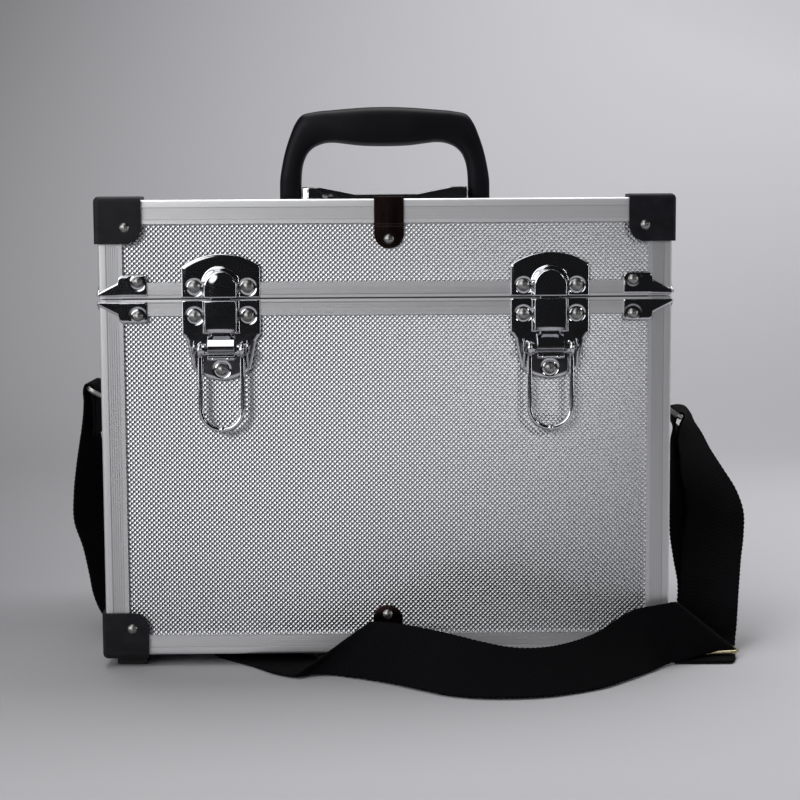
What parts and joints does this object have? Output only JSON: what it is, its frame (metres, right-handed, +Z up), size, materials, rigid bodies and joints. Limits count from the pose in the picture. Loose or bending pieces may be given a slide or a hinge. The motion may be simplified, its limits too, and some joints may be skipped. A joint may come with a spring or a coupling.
{
  "type": "tool case",
  "caption": "Upright aluminium tool case with studded panels, corner guards, draw latches, a top handle and a webbing shoulder strap.",
  "frame": {"origin": "on the floor under the middle of the case, its feet resting on z = 0", "axes": "+X to the case's right as seen from the front, -Y towards the latches, +Z up"},
  "size_m": [0.4293, 0.3145, 0.3362],
  "materials": {
    "sheet": "studded",
    "profile": "brushed satin",
    "board": "plain plywood",
    "lining": "matte foam",
    "black_plastic": "semi-gloss",
    "foot_rubber": "matte",
    "chrome": "polished",
    "steel": "satin",
    "brass": "antique",
    "webbing": "woven"
  },
  "bodies": {
    "body": {"body_front_board": "board", "body_rear_board": "board", "body_left_board": "board", "body_right_board": "board", "body_bottom_board": "board", "body_front_skin": "sheet", "body_rear_skin": "sheet", "body_left_skin": "sheet", "body_right_skin": "sheet", "body_bottom_skin": "sheet", "body_corner_posts": "profile", "body_base_rails": "profile", "body_rim": "profile", "body_lining": "lining", "body_corner_guards": "black_plastic", "body_seam_braces": "chrome", "body_edge_clips": "chrome", "body_rivets": "steel", "feet": "foot_rubber", "hinge_body_leaves": "steel", "hinge_pins": "steel", "latch_base_plates": "chrome", "latch_pivot_rivets": "steel", "ring_chapes": "steel", "strap_left_loop": "webbing", "strap_main": "webbing", "strap_right_loop": "webbing", "strap_slider": "brass"},
    "lid": {"lid_top_board": "board", "lid_front_board": "board", "lid_rear_board": "board", "lid_left_board": "board", "lid_right_board": "board", "lid_top_skin": "sheet", "lid_front_skin": "sheet", "lid_rear_skin": "sheet", "lid_left_skin": "sheet", "lid_right_skin": "sheet", "lid_corner_posts": "profile", "lid_top_rails": "profile", "lid_rim": "profile", "lid_lining": "lining", "lid_corner_guards": "black_plastic", "lid_seam_braces": "chrome", "lid_edge_clips": "chrome", "lid_rivets": "steel", "hinge_lid_leaves": "steel", "latch_keepers": "chrome", "handle_bracket": "chrome", "handle_pins": "steel"},
    "handle": {"handle_grip": "black_plastic"},
    "left_bail": {"latch_left_bail": "chrome"},
    "right_bail": {"latch_right_bail": "chrome"},
    "left_hook": {"latch_left_hook": "chrome"},
    "right_hook": {"latch_right_hook": "chrome"},
    "left_strap_ring": {"left_ring": "brass"},
    "right_strap_ring": {"right_ring": "brass"}
  },
  "joints": [
    {"name": "lid_hinge", "type": "hinge", "parent": "body", "child": "lid", "pos_m": [0, 0.116, 0.2193], "axis": [-1, 0, 0], "range_deg": [0, 95]},
    {"name": "handle_swing", "type": "hinge", "parent": "lid", "child": "handle", "pos_m": [0, 0, 0.2826], "axis": [1, 0, 0], "range_deg": [-80, 80]},
    {"name": "left_bail_turn", "type": "hinge", "parent": "body", "child": "left_bail", "pos_m": [-0.0964, -0.1185, 0.1895], "axis": [-1, 0, 0], "range_deg": [0, 120]},
    {"name": "right_bail_turn", "type": "hinge", "parent": "body", "child": "right_bail", "pos_m": [0.0964, -0.1185, 0.1895], "axis": [-1, 0, 0], "range_deg": [0, 120]},
    {"name": "left_hook_slide", "type": "slide", "parent": "body", "child": "left_hook", "axis": [0, 0, 1], "range_m": [0, 0.0031]},
    {"name": "right_hook_slide", "type": "slide", "parent": "body", "child": "right_hook", "axis": [0, 0, 1], "range_m": [0, 0.0031]},
    {"name": "left_ring_swing", "type": "hinge", "parent": "body", "child": "left_strap_ring", "pos_m": [-0.1725, 0, 0.149], "axis": [0, 1, 0], "range_deg": [-60, 40], "deforming": ["strap_left_loop"]},
    {"name": "right_ring_swing", "type": "hinge", "parent": "body", "child": "right_strap_ring", "pos_m": [0.1725, 0, 0.149], "axis": [0, -1, 0], "range_deg": [-27, 78], "deforming": ["strap_right_loop"]}
  ],
  "couplings": [
    {"joint": "left_hook_slide", "follows": "left_bail_turn", "m_per_rad": 0.0014324},
    {"joint": "right_hook_slide", "follows": "right_bail_turn", "m_per_rad": 0.0014324}
  ]
}
